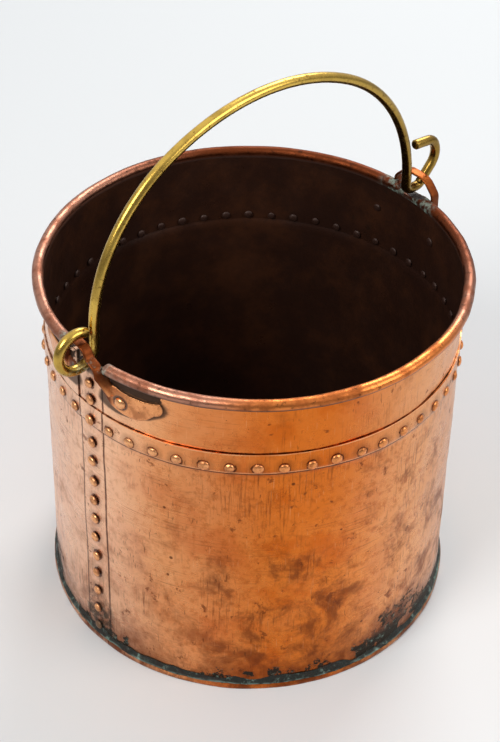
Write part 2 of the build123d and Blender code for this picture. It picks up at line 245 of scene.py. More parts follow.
def finish_metal(shader, skin, rough, metal, relief, strength=0.4, depth_mm=1.2):
    """Joins a metal's colour, roughness, metalness and relief to its shader."""
    bump = add(shader.id_data, "ShaderNodeBump", Strength=strength, Height=relief)
    feed(bump, Distance=depth_mm * MM)
    feed(shader, Base_Color=skin, Roughness=rough, Metallic=metal, Normal=Signal(bump))


def ramp(value, low, high, start=0.0, end=1.0):
    """A smooth step from start to end while value goes from low to high."""
    made = add(value.tree, "ShaderNodeMapRange", {"interpolation_type": "SMOOTHSTEP"}, Value=value)
    feed(made, From_Min=low, From_Max=high, To_Min=start, To_Max=end)
    return Signal(made)


def noise(vector, size_mm, detail=4.0, roughness=0.55, distortion=0.0):
    """Cloudy noise whose patches are about that many millimetres across."""
    made = add(vector.tree, "ShaderNodeTexNoise", Vector=vector, Scale=1000.0 / size_mm)
    feed(made, Detail=detail, Roughness=roughness, Distortion=distortion)
    return Signal(made)


def mix(factor, first, second):
    """Mixes two colours by a signal."""
    made = add(factor.tree, "ShaderNodeMix", {"data_type": "RGBA"}, i0=factor, i6=first, i7=second)
    return Signal(made, 2)


def blend(factor, first, second):
    """Mixes two fixed colours by a number."""
    return tuple(a + (b - a) * factor for a, b in zip(first, second))


def stretched(vector, along, rotation=(0.0, 0.0, 0.0)):
    """Coordinates stretched along each axis, for streaks and scratches."""
    return Signal(add(vector.tree, "ShaderNodeMapping", i0=vector, i2=rotation, i3=along))


def either(first, *others):
    """The strongest of several masks."""
    for other in others:
        first = first.maths("MAXIMUM", other)
    return first


def reach(across, up):
    """Distance from two offsets at right angles."""
    return (across * across + up * up).maths("SQRT")


def pits(coords, apart_mm, chosen):
    """Round pits about that far apart, left out of a share of the places, of uneven size."""
    cell = add(coords.tree, "ShaderNodeTexVoronoi", Vector=coords, Scale=1000 / apart_mm)
    random = Signal(add(coords.tree, "ShaderNodeSeparateColor", i0=Signal(cell, "Color")))
    size = ramp(random, chosen, 1.0, 0.0, 0.075)
    return ramp(Signal(cell, "Distance") - size, -0.012, 0.012, 1.0, 0.0) * 0.8


def proud_of_wall(z, radius, lift_mm=0.0):
    """How far a point stands off the wall's outside, in metres."""
    s = sizes()
    slope = (s.wall_top - s.wall_foot) / (s.rim_height - s.bead / 2)
    return radius - z.scaled(slope, (s.wall_foot + lift_mm) * MM)


def line_mask(value, at, half, wobble, strength):
    """A thin, slightly uneven line where a coordinate passes a value."""
    return ramp(wobble.scaled(0.25, abs(value - at)), half * 0.4, half * 1.6, strength, 0.0)


def rivet_dirt_and_shade(spot, wobble):
    """Dirt that polish has left round the rivets of the band and of the seams, and painted shade in the
    same rings.
    """
    coords, x, y, z, _ = spot
    off = y - sizes().offset * MM
    elsewhere = ramp(x, -0.05, 0.0)
    # The band: 100.5 keeps the count of turns positive and each rivet in the middle of its step
    step = 2 * pi / BAND_COUNT
    turn = y.maths("ARCTAN2", x).scaled(1 / step, 100.5 - radians(lug_turn()) / step)
    across = (turn.maths("FRACT") - 0.5) * (step * WALL_MIDDLE)
    band = reach(across, z - (BAND_HEIGHT - 0.2) * MM)
    # The seams of the body and of the collar
    rise = (z - SEAM_FIRST * MM).scaled(1 / (SEAM_PITCH * MM), 0.5)
    rise = (rise.maths("FRACT") - 0.5) * (SEAM_PITCH * MM)
    seam = reach(rise, off) + elsewhere + ramp(z, 0.258, 0.262)
    lower, upper = (reach(off, z - height * MM) for height in COLLAR_HEIGHTS)
    collar = lower.maths("MINIMUM", upper) + elsewhere
    near = band.maths("MINIMUM", seam).maths("MINIMUM", collar) + wobble
    broken = ramp(noise(coords, 6, 3), 0.36, 0.56, 0.45, 0.95)
    dirt = ramp(near, 0.0053, 0.0067, 1.0, 0.0)
    faint = ramp(near, 0.006, 0.012, 0.3, 0.0)
    return either(dirt * broken, faint)


def hammered_copper():
    """Copper sheet, planished by hand and worn by polishing: a warm, soft gloss over shallow
    hammer facets, brown oxide in streaks and spots, dirt and painted shade in the corners, painted
    highlights at the left and right, and solder and its stain at the foot."""
    c = colours()
    s = sizes()
    material, shader, spot = new_material("Planished copper sheet")
    coords, x, y, z, radius = spot
    off = y - s.offset * MM
    # The wall unrolled flat, so that streaks and hatching follow it
    angle = y.maths("ARCTAN2", x)
    flat = Signal(add(coords.tree, "ShaderNodeCombineXYZ", i0=angle * WALL_MIDDLE, i1=z))
    wobble = (noise(coords, 8, 4) - 0.5) * 0.005
    ring_brown = blend(0.5, c.copper_brown, c.grime_and_shade)
    warm_brown = blend(0.5, c.copper_deep, c.copper_brown)
    # Broad changes of tone, 60 to 160 mm across, in deep orange and pale copper, and painted
    # highlights: pale and pink at the left, golden and yellow at the right
    tone = noise(coords, 120, 3)
    upper = ramp(z, 0.12, 0.26, 0.0, 0.55)
    clouds = noise(coords, 55, 5, 0.6)
    towards = x.scaled(-1.0, y * 0.25)
    pale_side_highlight = ramp(towards, 0.06, 0.2)
    pink_side_highlight = ramp(towards, 0.15, 0.2, 0.0, 0.75)
    gold_side_highlight = ramp(y.scaled(-1.0, x * 0.9), 0.11, 0.24)
    skin = mix(either(ramp(clouds, 0.42, 0.62), upper), c.copper, c.copper_deep)
    light = either(ramp(tone, 0.5, 0.75, 0.0, 0.3), pale_side_highlight)
    light = light * ramp(clouds, 0.3, 0.65, 1.0, 0.55)
    skin = mix(light, skin, c.copper_pale_and_highlight)
    skin = mix(gold_side_highlight * 0.75, skin, c.copper_gold_highlight)
    skin = mix(pink_side_highlight, skin, c.copper_pink_highlight)
    # A painted yellow highlight at the far right
    far_right_highlight = ramp(y.scaled(-0.5, x), 0.195, 0.22, 0.0, 0.4)
    skin = mix(far_right_highlight, skin, c.copper_yellow_highlight)
    # Brown smudges, 20 to 40 mm across, thicker towards the foot
    smudge = noise(coords, 38, 8, 0.68, 0.4)
    lower = ramp(z, 0.03, 0.26, 0.09, 0.0)
    smudges = ramp(smudge + lower, 0.53, 0.72)
    collar = ramp(z, 0.262, 0.272, 1.0, 0.4)
    calm = ramp(pale_side_highlight, 0.0, 1.0, 0.78, 0.3) * collar
    skin = mix(smudges * calm, skin, c.copper_brown)
    # Fine mottling of about 5 mm
    mottle = ramp(noise(coords, 7, 6, 0.7), 0.47, 0.66, 0.0, 0.5)
    skin = mix(mottle * ramp(pale_side_highlight, 0.0, 1.0, 1.0, 0.6) * collar, skin, warm_brown)
    # Hatching from polishing, in bundles 30 to 60 mm across, down and round the wall
    bundle = noise(coords, 70, 2)
    down = noise(stretched(flat, (1.0, 0.05, 1.0)), 1.8, 4, 0.65)
    down = ramp(down, 0.5, 0.68) * ramp(bundle, 0.48, 0.62)
    round_wall = noise(stretched(flat, (0.04, 1.0, 1.0)), 1.8, 4, 0.65)
    round_wall = ramp(round_wall, 0.52, 0.68) * ramp(bundle, 0.36, 0.52, 1.0, 0.0)
    hatch = either(down, round_wall * 0.7)
    skin = mix(hatch * either(collar, 0.5) * 0.65, skin, c.copper_brown)
    # Brown spots 3 to 10 mm across and black specks of 1 to 2 mm
    spots = ramp(noise(coords, 16, 7, 0.66), 0.615, 0.665)
    skin = mix(spots * 0.72, skin, c.copper_brown)
    specks = ramp(noise(coords, 5, 5, 0.72), 0.67, 0.72)
    skin = mix(specks * 0.85, skin, c.grime_and_shade)
    # Round pits of 1 to 3 mm, some alone and some in swarms
    swarm = pits(coords, 7, 0.3) * ramp(noise(coords, 60, 2), 0.56, 0.62)
    skin = mix(either(pits(coords, 24, 0.45), swarm), skin, ring_brown)
    # Short brown scratches 0.8 mm wide, at a slant
    score = noise(stretched(flat, (1.0, 0.12, 1.0), (0.0, 0.9, 0.0)), 1.6, 2)
    score = ramp(score, 0.64, 0.7) * ramp(noise(coords, 40, 3), 0.45, 0.6)
    skin = mix(score * 0.6, skin, ring_brown)
    # Pale scratches 0.6 mm wide
    scratch = noise(stretched(coords, (1.0, 1.0, 0.05), (0.5, 0.3, 0.0)), 1.2, 2)
    scratches = ramp(scratch, 0.66, 0.72)
    skin = mix(scratches * 0.3, skin, c.copper_pale_and_highlight)
    # Dirt and painted shade round the rivets, along the seam's laps, in the crease and at the band's
    # top edge
    behind = ramp(x, -0.02, -0.01, 1.0, 0.0)
    on_seam = (s.seam_half + 0.5) * MM
    lap_dirt_and_shade = either(
        line_mask(off, -on_seam, 0.001, wobble, 0.95) * behind,
        line_mask(off, on_seam, 0.0008, wobble, 0.85) * behind,
        line_mask(z, (s.crease + 0.2) * MM, 0.0009, wobble, 0.95),
        line_mask(z, (s.body_top + 0.5) * MM, 0.0005, wobble, 0.95),
    )
    skin = mix(lap_dirt_and_shade, skin, ring_brown)
    skin = mix(rivet_dirt_and_shade(spot, wobble), skin, ring_brown)
    # The band's cut edge catches the light
    lit = line_mask(z, (s.body_top - 0.7) * MM, 0.0005, wobble, 0.75)
    lit = lit * ramp(radius, 0.1918, 0.1922)
    lit = either(lit, line_mask(z, (s.crease + 2.1) * MM, 0.0006, wobble, 0.65))
    skin = mix(lit, skin, c.copper_pale_and_highlight)
    # Painted shade in the gap between each lug's wings and the rolled rim, and dirt round the ring's
    # notch
    beside = abs(off)
    uneven = wobble.scaled(2.5, beside)
    gap = ramp(uneven, 0.018, 0.024) * ramp(uneven, 0.066, 0.082, 1.0, 0.0)
    low = z + wobble * 2.0
    gap = gap * ramp(low, 0.3275, 0.3315) * ramp(z, ROLL_FOOT, 0.3432, 1.0, 0.0)
    at_lug = ramp(abs(x), 0.1, 0.12)
    notch = ramp(beside, 0.015, 0.021, 1.0, 0.0) * ramp(low, 0.322, 0.33) * behind
    crust = ramp(noise(coords, 6, 6, 0.7), 0.3, 0.5)
    # Dirt and painted shade round the wings, each a leaf 66 mm long and 29 mm high that rises to its
    # tip
    along = beside - 0.046
    up = along.scaled(-0.2, z) - 0.3175
    halo = reach(along / 0.033, up / 0.0145)
    halo = ramp(wobble.scaled(30.0, halo), 0.98, 1.14, 0.85, 0.0)
    halo = halo * at_lug
    gap = ramp(gap * crust.scaled(0.6, 0.4), 0.25, 0.45)
    # Painted shade and dirt together, darkening the sheet
    dirt = either(gap * at_lug * 0.96, notch * crust, halo)
    skin = mix(dirt, skin, c.grime_and_shade)
    # Black-green stain that has run up the wall from the solder, over a soft brown haze
    above = ramp(z, 0.0061, 0.0067)
    run = noise(coords, 62, 7, 0.66)
    haze = ramp(run.scaled(-0.2, z), -0.095, -0.035, 0.75, 0.0)
    skin = mix(haze * above, skin, c.copper_brown)
    flood = run.scaled(-0.32, z)
    patina = ramp(flood, -0.149, -0.144, 1.0, 0.0)
    flecks = ramp(noise(coords, 6, 6, 0.75), 0.35, 0.6)
    patina = patina * above * either(flecks, ramp(z, 0.022, 0.034, 1.0, 0.3))
    foul = ramp(beside, 0.014, 0.024, 1.0, 0.0) * behind * ramp(z, 0.03, 0.07, 1.0, 0.0)
    foul = foul * above * ramp(noise(coords, 9, 5, 0.7), 0.42, 0.56)
    patina = either(patina, foul * 0.85)
    glint = ramp(noise(coords, 8, 6, 0.75), 0.55, 0.66, 0.0, 0.6)
    skin = mix(patina * 0.95, skin, mix(glint, c.solder, c.verdigris))
    # The folded foot is browner, with a dark lower edge
    foot = ramp(z, 0.0063, 0.0068, 1.0, 0.0) * ramp(radius, 0.1945, 0.195)
    worn = ramp(noise(coords, 22, 6, 0.65), 0.38, 0.6, 0.15, 0.9)
    worn = either(worn, ramp(z, 0.0004, 0.0014, 0.9, 0.0))
    skin = mix(foot * worn, skin, c.copper_brown)
    # Hammer facets about 16 mm across, and a finer planished ripple
    cells = add(coords.tree, "ShaderNodeTexVoronoi", {"feature": "SMOOTH_F1"}, Vector=coords)
    feed(cells, Scale=1000 / 16, Smoothness=0.7)
    facets = Signal(cells, "Distance")
    relief = facets.scaled(0.3, noise(coords, 24, 4, 0.5))
    relief = relief + ramp(noise(coords, 3, 3, 0.7), 0.6, 0.75, 0.0, -0.25)
    relief = relief + patina * noise(coords, 5, 5, 0.7)
    relief = relief + hatch * -0.05
    dull = either(patina * 0.85, dirt * 0.9)
    gloss = noise(coords, 35, 6, 0.65).scaled(0.25, 0.16)
    gloss = either(smudges, spots).scaled(0.16, gloss)
    clean = 1.0 - dull
    rough = dull.scaled(0.6, gloss * clean)
    metal = 1.0 - dull * 0.8
    feed(shader, Specular_IOR_Level=dull.scaled(-0.42, 0.5))
    finish_metal(shader, skin, rough, metal, relief, 0.45, 1.8)
    return material


def tarnished_inside():
    """The copper's inner face: black-brown tarnish with a faint sheen, browner in patches."""
    c = colours()
    material, shader, (coords, *_) = new_material("Tarnished copper")
    brown = ramp(noise(coords, 60, 8, 0.7), 0.4, 0.75, 0.0, 0.6)
    skin = mix(brown, c.inside, c.inside_brown)
    grey = ramp(noise(coords, 12, 6, 0.7), 0.58, 0.7, 0.0, 0.25)
    skin = mix(grey, skin, c.solder)
    relief = noise(coords, 4, 4, 0.7).scaled(0.2, noise(coords, 22, 4))
    rough = noise(coords, 25, 5).scaled(0.3, 0.18)
    finish_metal(shader, skin, rough, 0.4, relief, 0.4, 1.8)
    return material


def rolled_rim():
    """Copper of the rolled rim: brownish pink at the back left, browner at the right as painted
    shade, golden in front as a painted highlight, with brown mottling and green salts by the lugs."""
    c = colours()
    s = sizes()
    material, shader, (coords, x, y, z, radius) = new_material("Rolled copper rim")
    # Painted shade at the right and a painted golden highlight in front
    far = ramp(y.scaled(0.35, x), 0.0, 0.16)
    front = ramp(y.scaled(-0.95, x * -0.2), 0.14, 0.175)
    skin = mix(far, c.rim, c.rim_far_shade)
    skin = mix(front * 0.8, skin, c.copper)
    clouds = ramp(noise(coords, 26, 6, 0.65), 0.45, 0.65)
    skin = mix(either(clouds * 0.6, far * 0.4), skin, c.copper_brown)
    specks = ramp(noise(coords, 6, 6, 0.7), 0.55, 0.66)
    skin = mix(specks * 0.6, skin, c.grime_and_shade)
    # Painted shade on the roll's lower half, and dark tarnish on its inner side
    under = ramp(z, 0.344, 0.3474, 0.95, 0.0)
    within = ramp(radius, 0.1896, 0.1912, 0.9, 0.0) * ramp(z, 0.344, 0.348, 1.0, 0.0)
    skin = mix(either(under, within), skin, c.inside)
    # Green salts where the rod and the straps touch the rim
    off = abs(y - s.offset * MM)
    near = ramp(off, 0.024, 0.042, 1.0, 0.0) * ramp(abs(x), 0.15, 0.17)
    crust = ramp(noise(coords, 9, 6, 0.7), 0.4, 0.56)
    cut_end = ramp(off, 0.028, 0.032, 1.0, 0.0) * ramp(x, -0.05, 0.0, 0.9, 0.0)
    salts = either(near * crust, cut_end)
    green = mix(ramp(noise(coords, 5, 4), 0.42, 0.56), c.solder, c.verdigris)
    skin = mix(salts * 0.65, skin, green)
    relief = noise(coords, 3, 4, 0.7).scaled(0.3, noise(coords, 14, 4, 0.6))
    worn = either(clouds, salts, under * 0.9)
    rough = worn.scaled(0.25, far.scaled(0.14, 0.3))
    metal = 1.0 - either(salts, under, within) * 0.8
    finish_metal(shader, skin, rough, metal, relief, 0.5, 1.5)
    return material


def copper_rivet():
    """Soft copper rivets, of the sheet's own tone, with a painted highlight at the left and dirt and
    painted shade at the foot.
    """
    c = colours()
    material, shader, (coords, x, y, z, radius) = new_material("Hammered copper rivet")
    # A painted pale highlight, stronger on the rivets at the left
    pale = ramp(x.scaled(-1.0, y * 0.25), 0.03, 0.2, 0.35, 0.9)
    skin = mix(pale, c.copper, c.copper_pale_and_highlight)
    blotch = ramp(noise(coords, 8, 6, 0.65), 0.42, 0.68)
    skin = mix(blotch * 0.6, skin, c.copper_brown)
    proud = noise(coords, 7, 4).scaled(0.0016, proud_of_wall(z, radius))
    # Dirt and painted shade where the head meets the sheet
    edge = ramp(proud, 0.0026, 0.0034, 0.6, 0.0)
    skin = mix(edge, skin, blend(0.4, c.copper_brown, c.grime_and_shade))
    inside = ramp(proud_of_wall(z, radius, -0.9), -0.0003, 0.0002, 1.0, 0.0)
    skin = mix(inside, skin, c.inside)
    low = ramp(noise(coords, 12, 4).scaled(-0.03, z), 0.01, 0.03, 0.8, 0.0)
    skin = mix(low, skin, c.solder)
    relief = noise(coords, 2, 3).scaled(0.3, noise(coords, 6, 4, 0.6))
    dull = either(edge, inside, low)
    rough = either(blotch, dull).scaled(0.25, 0.26)
    metal = 1.0 - dull * 0.7
    finish_metal(shader, skin, rough, metal, relief)
    return material


def forged_strap():
    """Forged copper of the lugs: the straps reddish brown and darker low down, partly painted shade,
    the wings like the sheet with painted highlights, pale on the ring lug and golden on the hook
    lug, and dirt and painted shade where they meet the rim and the wall."""
    c = colours()
    s = sizes()
    material, shader, (coords, x, y, z, radius) = new_material("Forged copper strap")
    off = abs(y - s.offset * MM)
    blotch = ramp(noise(coords, 14, 7, 0.68), 0.44, 0.64)
    skin = mix(ramp(noise(coords, 40, 3), 0.4, 0.6), c.copper, c.copper_deep)
    # The straps reddish brown, darker low down than at the crest: partly their tone, partly painted
    # shade
    arch = ramp(off, 0.026, 0.034, 1.0, 0.0) * ramp(z, 0.362, 0.37, 0.95, 0.7)
    skin = mix(arch, skin, blend(0.3, c.copper_brown, c.inside))
    # Painted highlights on the wings: pale on the ring lug, golden on the hook lug
    pale = ramp(x, -0.19, -0.12, 0.65, 0.0) * ramp(off, 0.026, 0.034)
    skin = mix(pale, skin, c.copper_pale_and_highlight)
    golden = ramp(x, 0.12, 0.19, 0.0, 0.6) * ramp(off, 0.026, 0.034)
    skin = mix(golden, skin, c.copper_gold_highlight)
    skin = mix(blotch * 0.45, skin, c.copper_brown)
    specks = ramp(noise(coords, 4, 6, 0.7), 0.6, 0.7)
    skin = mix(specks * 0.5, skin, c.grime_and_shade)
    # Green salts low on the strap, and dirt and painted shade on its inner face, along the rim, at the
    # wings' edges and round their rivets
    strap = ramp(off, 0.02, 0.028, 1.0, 0.0)
    stain = strap * ramp(noise(coords, 11, 6, 0.7), 0.5, 0.6) * ramp(z, 0.35, 0.358, 1.0, 0.0)
    green = mix(ramp(noise(coords, 5, 4), 0.42, 0.56), c.solder, c.verdigris)
    skin = mix(stain * 0.85, skin, green)
    top = noise(coords, 9, 5, 0.7).scaled(0.007, z)
    dirt = ramp(top, 0.336, 0.3385) * ramp(off, 0.03, 0.036)
    back = ramp(radius, 0.1908, 0.1912, 0.6, 0.0)
    proud = proud_of_wall(z, radius)
    outline = ramp(proud, 0.001, 0.0019, 0.9, 0.0) * ramp(z, 0.334, 0.338, 1.0, 0.0)
    from_rivet = reach(off - (WING_SPREAD - 0.2) * MM, z - WING_HEIGHT * MM)
    from_rivet = noise(coords, 6, 4).scaled(-0.003, from_rivet)
    ringed = ramp(from_rivet, 0.0052, 0.0072, 0.85, 0.0)
    dirt = either(dirt * 0.9, back, outline, ringed)
    skin = mix(dirt, skin, c.grime_and_shade)
    relief = noise(coords, 2, 3).scaled(0.25, noise(coords, 9, 4, 0.6))
    dull = either(stain, dirt)
    rough = either(blotch, dull).scaled(0.25, arch.scaled(0.2, 0.24))
    metal = 1.0 - dull * 0.8
    finish_metal(shader, skin, rough, metal, relief, 0.2)
    return material


def aged_brass():
    """Drawn brass rod, handled for years: golden on top, brown oxide in spots, on the hook and
    towards the lugs, and painted shade browning it towards the right."""
    c = colours()
    material, shader, (coords, x, _, z, _) = new_material("Aged brass rod")
    tone = ramp(noise(coords, 40, 5, 0.6), 0.42, 0.62)
    skin = mix(tone * 0.4, c.brass, c.brass_oxide_and_shade)
    hook = ramp(x, 0.155, 0.185)
    low = ramp(noise(coords, 15, 4).scaled(0.06, z), 0.37, 0.43, 0.8, 0.0)
    low = low * hook.scaled(0.45, 0.35)
    skin = mix(either(low, hook * 0.3), skin, c.brass_oxide_and_shade)
    # Painted shade: the rod browner towards its right
    warm = ramp(x, 0.0, 0.15, 0.0, 0.45)
    skin = mix(warm, skin, c.brass_oxide_and_shade)
    specks = ramp(noise(coords, 6, 7, 0.72), 0.56, 0.66)
    skin = mix(specks * 0.75, skin, c.brass_oxide_and_shade)
    dots = ramp(noise(coords, 3, 4, 0.7), 0.66, 0.7)
    skin = mix(dots * 0.8, skin, c.grime_and_shade)
    # Green salts where the ring and the hook rub their straps
    rub = ramp(z, 0.333, 0.345, 0.8, 0.0) * ramp(noise(coords, 7, 5, 0.7), 0.45, 0.58)
    skin = mix(rub, skin, c.verdigris)
    relief = noise(coords, 2.5, 3).scaled(0.25, noise(coords, 22, 3))
    rough = noise(coords, 12, 5, 0.65).scaled(0.25, 0.13)
    rough = either(specks, rub).scaled(0.2, rough)
    metal = 1.0 - rub * 0.8
    finish_metal(shader, skin, rough, metal, relief, 0.15)
    return material


def crusted(name, first, second, share, foot=0.0):
    """Old solder or rust: a dull, grainy crust in two tones."""
    material, shader, (coords, _, _, z, _) = new_material(name)
    patch = ramp(noise(coords, 9, 7, 0.7), 0.6 - share * 0.4, 0.78 - share * 0.4, 0.0, 0.75)
    skin = mix(patch, first, second)
    dark = ramp(noise(coords, 16, 5, 0.6), 0.45, 0.6, 0.0, 0.75)
    skin = mix(dark, skin, colours().grime_and_shade)
    if foot:
        low = ramp(z, 0.0068, 0.0082, 1.0, 0.0) * ramp(noise(coords, 14, 5), 0.42, 0.58)
        skin = mix(low * foot, skin, second)
    grain = noise(coords, 2, 4, 0.7).scaled(0.4, noise(coords, 7, 4, 0.6))
    rough = ramp(grain, 0.4, 0.9, 0.28, 0.6)
    finish_metal(shader, skin, rough, 0.35, grain, 0.8, 2.0)
    return material


def studio_paper(shade):
    """Matt white paper of the floor. Far from the bucket the camera sees it white."""
    material, shader, (*_, radius) = new_material("Matt paper")
    seen = Signal(add(radius.tree, "ShaderNodeLightPath"), "Is Camera Ray")
    glow = ramp(radius, 1.4, 4.0, 0.0, 0.6) * seen
    feed(shader, Base_Color=shade, Roughness=0.9, Emission_Color=(1, 1, 1, 1), Emission_Strength=glow)
    return material


# Modelling

def start_clean():
    """Leaves edit mode and deselects everything."""
    if bpy.context.object and bpy.context.object.mode != "OBJECT":
        bpy.ops.object.mode_set(mode="OBJECT")
    bpy.ops.object.select_all(action="DESELECT")


def make_active(piece):
    """Selects one piece alone."""
    start_clean()
    piece.select_set(True)
    bpy.context.view_layer.objects.active = piece


def spun(name, outline, start, turn, steps, closed=True):
    """Spins an outline, points of (radius, height) in millimetres, round the bucket's axis, and
    caps its open ends."""
    start_clean()
    bpy.ops.mesh.primitive_plane_add(size=0.001, location=(0, 0, 0))
    piece = bpy.context.object
    piece.name = name
    bpy.ops.object.mode_set(mode="EDIT")
    bpy.ops.mesh.select_all(action="SELECT")
    bpy.ops.mesh.merge(type="CENTER")
    heading = Vector((cos(radians(start)), sin(radians(start)), 0))
    spots = [heading * (r * MM) + Vector((0, 0, h * MM)) for r, h in outline]
    bpy.ops.transform.translate(value=spots[0])
    for before, after in zip(spots, spots[1:]):
        bpy.ops.mesh.extrude_region_move(TRANSFORM_OT_translate={"value": after - before})
    bpy.ops.mesh.select_all(action="SELECT")
    if closed:
        bpy.ops.object.mode_set(mode="OBJECT")
        piece.data.vertices.foreach_set("select", [False] * len(piece.data.vertices))
        piece.data.vertices[0].select = True
        piece.data.vertices[len(spots) - 1].select = True
        bpy.ops.object.mode_set(mode="EDIT")
        bpy.ops.mesh.select_mode(type="VERT")
        bpy.ops.mesh.edge_face_add()
        bpy.ops.mesh.select_all(action="SELECT")
    bpy.ops.mesh.spin(steps=steps, angle=radians(turn), center=(0, 0, 0), axis=(0, 0, 1))
    bpy.ops.mesh.select_all(action="SELECT")
    bpy.ops.mesh.remove_doubles(threshold=0.00002)
    if turn < 360 or not closed:
        bpy.ops.mesh.select_all(action="DESELECT")
        bpy.ops.mesh.select_non_manifold()
        bpy.ops.mesh.fill_holes(sides=0)
        bpy.ops.mesh.select_all(action="SELECT")
    bpy.ops.mesh.normals_make_consistent(inside=False)
    bpy.ops.object.mode_set(mode="OBJECT")
    return piece


def modify(piece, kind, **settings):
    """Adds a modifier and applies it."""
    make_active(piece)
    modifier = piece.modifiers.new(kind.title(), kind)
    for name, value in settings.items():
        setattr(modifier, name, value)
    bpy.ops.object.modifier_apply(modifier=modifier.name)


def dent(piece, size_mm, depth_mm, middle=0.5):
    """Pushes the surface in and out as hammer blows do, in patches of that size."""
    texture = bpy.data.textures.new(piece.name + " dents", "CLOUDS")
    texture.noise_scale = size_mm * MM
    modify(piece, "DISPLACE", texture=texture, strength=depth_mm * MM, mid_level=middle)


def hammer(piece, size_mm, depth_mm, rise_mm=0.0):
    """Beats a round sheet in and out, and its edge up and down, in patches of that size."""
    for vertex in piece.data.vertices:
        x, y, z = vertex.co
        radius = (x * x + y * y) ** 0.5
        spot = Vector((x / radius * BEATEN, y / radius * BEATEN, z / MM)) / size_mm
        push = perlin.noise(spot) * depth_mm * MM
        lift = perlin.noise(spot * 0.6 + Vector((7, 3, 1))) * rise_mm * MM
        vertex.co = (x * (1 + push / radius), y * (1 + push / radius), z + lift)


def cut(piece, cutter):
    """Cuts one piece with another, which is used up."""
    modify(piece, "BOOLEAN", object=cutter, operation="DIFFERENCE", solver="EXACT")
    bpy.data.objects.remove(cutter)


def block(low, high):
    """A box between two corners in millimetres."""
    start_clean()
    middle = [(a + b) / 2 * MM for a, b in zip(low, high)]
    bpy.ops.mesh.primitive_cube_add(size=1, location=middle)
    piece = bpy.context.object
    piece.scale = [(b - a) * MM for a, b in zip(low, high)]
    bpy.ops.object.transform_apply()
    return piece


def bar(start, radius_mm, span_mm):
    """A round cutter along X."""
    start_clean()
    bpy.ops.mesh.primitive_cylinder_add(
        vertices=96,
        radius=radius_mm * MM,
        depth=span_mm * MM,
        location=[v * MM for v in start],
        rotation=(0, radians(90), 0),
    )
    bpy.ops.object.transform_apply()
    return bpy.context.object


def joined(pieces, name):
    """Joins pieces into one."""
    start_clean()
    for piece in pieces:
        piece.select_set(True)
    bpy.context.view_layer.objects.active = pieces[0]
    bpy.ops.object.join()
    pieces[0].name = name
    return pieces[0]


def smooth(piece, angle):
    """Shades smooth the edges that turn by less than an angle in degrees."""
    make_active(piece)
    bpy.ops.object.shade_smooth_by_angle(angle=radians(angle))


def doubled(source):
    """A second object with a mesh of its own."""
    piece = source.copy()
    piece.data = source.data.copy()
    bpy.context.collection.objects.link(piece)
    return piece


def copied(node, name):
    """A merged copy of a CAD node's mesh."""
    start_clean()
    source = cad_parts[node]
    piece = doubled(source)
    piece.name = name
    piece.parent = None
    piece.matrix_world = source.matrix_world
    make_active(piece)
    bpy.ops.object.transform_apply()
    bpy.ops.object.mode_set(mode="EDIT")
    bpy.ops.mesh.select_all(action="SELECT")
    bpy.ops.mesh.remove_doubles(threshold=0.000005)
    bpy.ops.object.mode_set(mode="OBJECT")
    return piece


def finish(piece, material, body, *nodes):
    """Gives the piece its material, its body and the CAD nodes that it stands for."""
    piece.name = piece.name.lower().replace(" ", "-")
    piece.data.materials.clear()
    piece.data.materials.append(material)
    if nodes:
        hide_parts(*nodes)
    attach(piece, body)
    return piece


def climb(low, high, lift, spacing=5.0):
    """Points up the wall from low to high, about that far apart."""
    count = max(1, round(abs(high - low) / spacing))
    heights = [low + (high - low) * i / count for i in range(count + 1)]
    return [(wall(h, lift), h) for h in heights]


MATERIALS = {}


def material_for(name):
    """The material of that name, made once."""
    if name not in MATERIALS:
        c = colours()
        makers = {
            "sheet": hammered_copper,
            "inside": tarnished_inside,
            "rim": rolled_rim,
            "rivet": copper_rivet,
            "lug": forged_strap,
            "brass": aged_brass,
            "solder": lambda: crusted("Old solder", c.solder, c.verdigris, 0.2, 0.4),
            "iron": lambda: crusted("Rusty iron wire", c.grime_and_shade, c.inside, 0.5),
        }
        MATERIALS[name] = makers[name]()
    return MATERIALS[name]


def tarnish(piece):
    """Gives the faces that look into the bucket the tarnished finish."""
    slot = len(piece.data.materials)
    piece.data.materials.append(material_for("inside"))
    for face in piece.data.polygons:
        x, y, z = face.center
        radius = (x * x + y * y) ** 0.5
        inward = -(face.normal.x * x + face.normal.y * y) / radius
        floor = face.normal.z > 0.5 and z < FLOOR_TOP and radius < 0.194
        if floor or (inward > 0.5 and FLOOR_TOP < z < ROLL_FOOT):
            face.material_index = slot


def seam_flap(name, outline):
    """The strip of sheet that laps over a seam, and the angle in degrees where it starts."""
    half = degrees(sizes().seam_half / sizes().wall_top)
    start = 180 + lug_turn() - half
    return spun(name, outline, start - 0.4, 2 * half + 0.4, 14), start


